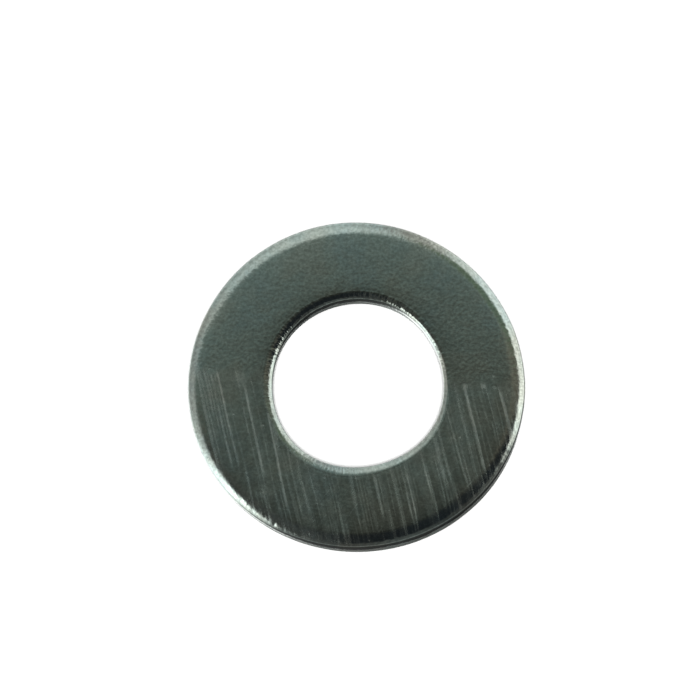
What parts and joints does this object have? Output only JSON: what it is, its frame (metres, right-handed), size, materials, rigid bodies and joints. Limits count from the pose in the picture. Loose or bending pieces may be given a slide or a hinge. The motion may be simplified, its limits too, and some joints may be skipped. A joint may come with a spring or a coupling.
{
  "type": "flat washer",
  "caption": "Round flat washer stamped from plated steel sheet, with a central clearance hole for a bolt and a rolled edge on one face.",
  "frame": {"origin": "centre of the hole in the plane of the flat underside", "axes": "+Z along the hole's axis, pointing out of the face with the rolled edges; X and Y lie in the underside"},
  "size_m": [0.0206, 0.0206, 0.0016],
  "materials": {
    "zinc_plated_steel": "bright zinc plating on stamped steel, clear passivated, satin with fine tumbling grain and scratches"
  },
  "bodies": {
    "root": {"washer": "zinc_plated_steel"}
  },
  "joints": []
}
